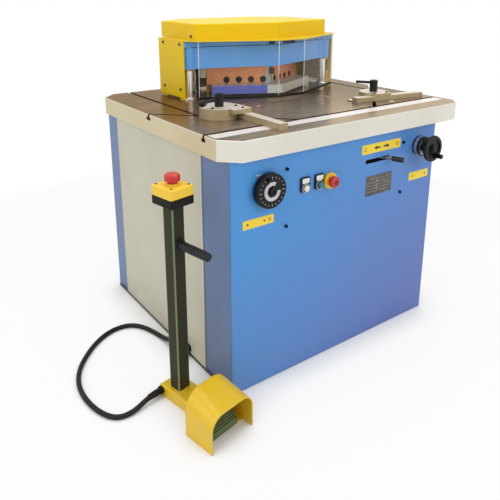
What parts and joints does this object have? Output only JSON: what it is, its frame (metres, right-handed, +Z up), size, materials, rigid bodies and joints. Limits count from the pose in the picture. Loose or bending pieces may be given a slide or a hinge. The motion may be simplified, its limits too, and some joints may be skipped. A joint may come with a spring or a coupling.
{
  "type": "sheet metal notcher",
  "caption": "Hydraulic corner notcher: steel cabinet, T-slotted table with fences, guarded ram with angled blades, front controls and a corded foot pedal on a post.",
  "frame": {"origin": "on the floor, under the middle of the cabinet", "axes": "+X to the operator's right, +Y from the operator to the back, +Z up"},
  "size_m": [1.5339, 1.1993, 1.204],
  "materials": {
    "cabinet_blue": "satin paint",
    "panel_grey": "satin paint",
    "table_steel": "ground top, painted apron",
    "frame_black": "matt paint",
    "guard_yellow": "gloss paint",
    "clear_shield": "clear sheet",
    "ram_blue": "gloss paint",
    "column_chrome": "polished",
    "bronze": "turned",
    "blade_copper": "coppered",
    "tool_steel": "ground",
    "hold_down": "painted front, ground top",
    "screw_steel": "zinc plated",
    "bolt_black": "black oxide",
    "cylinder_grey": "satin paint",
    "motor_grey": "painted casting",
    "box_grey": "satin",
    "hose_rubber": "matt",
    "control_black": "semi-gloss",
    "lever_steel": "bright bar, black grip",
    "button_white": "gloss",
    "lamp_green": "lens",
    "stop_red": "gloss",
    "switch_yellow": "satin",
    "fence_steel": "ground",
    "clamp_black": "black lever",
    "pedal_yellow": "satin",
    "treadle_green": "ribbed",
    "post_black": "satin paint",
    "handle_grip": "grip"
  },
  "bodies": {
    "machine": {"base_frame": "frame_black", "front_shell": "cabinet_blue", "rear_shell": "cabinet_blue", "left_panel": "panel_grey", "right_panel": "panel_grey", "cover_screws": "screw_steel", "front_bolts": "bolt_black", "table": "table_steel", "guide_columns": "column_chrome", "head_crown": "ram_blue", "cylinder_barrel": "cylinder_grey", "guard_cap": "guard_yellow", "guard_sides": "guard_yellow", "guard_shield": "clear_shield", "oil_tank": "cylinder_grey", "tank_lid": "cylinder_grey", "pump_motor": "motor_grey", "gear_pump": "cylinder_grey", "valve_block": "cylinder_grey", "hydraulic_hoses": "hose_rubber", "electric_box": "box_grey", "angle_indicator": "control_black", "legend_holders": "control_black", "estop_collar": "switch_yellow", "pedal_base": "pedal_yellow", "pedal_hood": "pedal_yellow", "treadle_pin": "screw_steel", "pedal_post": "post_black", "pedal_handle": "handle_grip", "switch_box": "control_black", "switch_box_cover": "switch_yellow", "cable_gland": "control_black", "cable_elbow": "control_black", "pedal_cable": "hose_rubber"},
    "ram_unit": {"ram": "ram_blue", "ram_bushes": "bronze", "piston_rod": "column_chrome"},
    "upper_left": {"upper_blade_left": "blade_copper"},
    "upper_right": {"upper_blade_right": "blade_copper"},
    "lower_left": {"lower_die_left": "tool_steel", "stripper_left": "hold_down"},
    "lower_right": {"lower_die_right": "tool_steel", "stripper_right": "hold_down"},
    "gap_control": {"gap_dial": "control_black"},
    "angle_control": {"angle_handwheel": "control_black", "angle_screw": "screw_steel"},
    "crank_knob": {"handwheel_knob": "control_black"},
    "screw_nut": {"angle_nut": "bronze"},
    "lock": {"lock_lever": "lever_steel"},
    "start": {"start_button": "button_white"},
    "lamp": {"lamp_button": "lamp_green"},
    "panel_stop": {"panel_estop": "stop_red"},
    "left_slide": {"left_fence_base": "fence_steel"},
    "left_arm": {"left_fence_arm": "fence_steel"},
    "left_clamp": {"left_clamp_lever": "clamp_black"},
    "right_slide": {"right_fence_base": "fence_steel"},
    "right_arm": {"right_fence_arm": "fence_steel"},
    "right_clamp": {"right_clamp_lever": "clamp_black"},
    "foot_treadle": {"treadle": "treadle_green"},
    "post_stop": {"post_estop": "stop_red"}
  },
  "joints": [
    {"name": "ram_stroke", "type": "slide", "parent": "machine", "child": "ram_unit", "axis": [0, 0, -1], "range_m": [0, 0.02]},
    {"name": "upper_left_swing", "type": "hinge", "parent": "ram_unit", "child": "upper_left", "pos_m": [0.105, 0.1005, 0.95], "axis": [0, 0, -1], "range_deg": [0, 30]},
    {"name": "upper_right_swing", "type": "hinge", "parent": "ram_unit", "child": "upper_right", "pos_m": [0.105, 0.1005, 0.95], "axis": [0, 0, 1], "range_deg": [0, 30]},
    {"name": "lower_left_swing", "type": "hinge", "parent": "machine", "child": "lower_left", "pos_m": [0.105, 0.1005, 0.95], "axis": [0, 0, -1], "range_deg": [0, 30]},
    {"name": "lower_right_swing", "type": "hinge", "parent": "machine", "child": "lower_right", "pos_m": [0.105, 0.1005, 0.95], "axis": [0, 0, 1], "range_deg": [0, 30]},
    {"name": "angle_turn", "type": "hinge", "parent": "machine", "child": "angle_control", "pos_m": [0.398, -0.5425, 0.745], "axis": [0, 1, 0], "range_deg": [0, 1080]},
    {"name": "nut_travel", "type": "slide", "parent": "machine", "child": "screw_nut", "axis": [0, 1, 0], "range_m": [0, 0.037]},
    {"name": "knob_spin", "type": "hinge", "parent": "angle_control", "child": "crank_knob", "pos_m": [0.41922, -0.5725, 0.71469], "axis": [0, 1, 0], "continuous": true},
    {"name": "gap_turn", "type": "hinge", "parent": "machine", "child": "gap_control", "pos_m": [-0.353, -0.4905, 0.718], "axis": [0, 1, 0], "range_deg": [-120, 120]},
    {"name": "lever_swing", "type": "hinge", "parent": "machine", "child": "lock", "pos_m": [0.165, -0.3225, 0.726], "axis": [0, 0, 1], "range_deg": [-36, 0]},
    {"name": "start_press", "type": "slide", "parent": "machine", "child": "start", "axis": [0, 1, 0], "range_m": [0, 0.004], "stiffness_N_per_m": 400, "springref_m": -0.002},
    {"name": "lamp_press", "type": "slide", "parent": "machine", "child": "lamp", "axis": [0, 1, 0], "range_m": [0, 0.004], "stiffness_N_per_m": 400, "springref_m": -0.002},
    {"name": "panel_stop_press", "type": "slide", "parent": "machine", "child": "panel_stop", "axis": [0, 1, 0], "range_m": [0, 0.006]},
    {"name": "left_fence_slide", "type": "slide", "parent": "machine", "child": "left_slide", "axis": [0.7071, -0.7071, 0], "range_m": [-0.12, 0.12]},
    {"name": "left_fence_turn", "type": "hinge", "parent": "left_slide", "child": "left_arm", "pos_m": [-0.338, -0.172, 0.925], "axis": [0, 0, 1], "range_deg": [-20, 20]},
    {"name": "left_clamp_turn", "type": "hinge", "parent": "left_arm", "child": "left_clamp", "pos_m": [-0.338, -0.172, 0.96], "axis": [0, 0, 1], "range_deg": [0, 60]},
    {"name": "right_fence_slide", "type": "slide", "parent": "machine", "child": "right_slide", "axis": [0.7071, 0.7071, 0], "range_m": [-0.06, 0.08]},
    {"name": "right_fence_turn", "type": "hinge", "parent": "right_slide", "child": "right_arm", "pos_m": [0.374, -0.243, 0.93], "axis": [0, 0, 1], "range_deg": [-20, 20]},
    {"name": "right_clamp_turn", "type": "hinge", "parent": "right_arm", "child": "right_clamp", "pos_m": [0.374, -0.243, 0.965], "axis": [0, 0, 1], "range_deg": [0, 60]},
    {"name": "treadle_press", "type": "hinge", "parent": "machine", "child": "foot_treadle", "pos_m": [-0.62751, -0.53592, 0.027], "axis": [0.9816, 0.1908, 0], "range_deg": [0, 7], "stiffness_Nm_per_rad": 8, "springref_deg": -5.73},
    {"name": "post_stop_press", "type": "slide", "parent": "machine", "child": "post_stop", "axis": [0, 0, -1], "range_m": [0, 0.006]}
  ],
  "couplings": [
    {"joint": "upper_left_swing", "follows": "angle_turn", "ratio": 0.0277},
    {"joint": "upper_right_swing", "follows": "angle_turn", "ratio": 0.0277},
    {"joint": "lower_left_swing", "follows": "angle_turn", "ratio": 0.0277},
    {"joint": "lower_right_swing", "follows": "angle_turn", "ratio": 0.0277},
    {"joint": "nut_travel", "follows": "angle_turn", "m_per_rad": 0.0019}
  ]
}
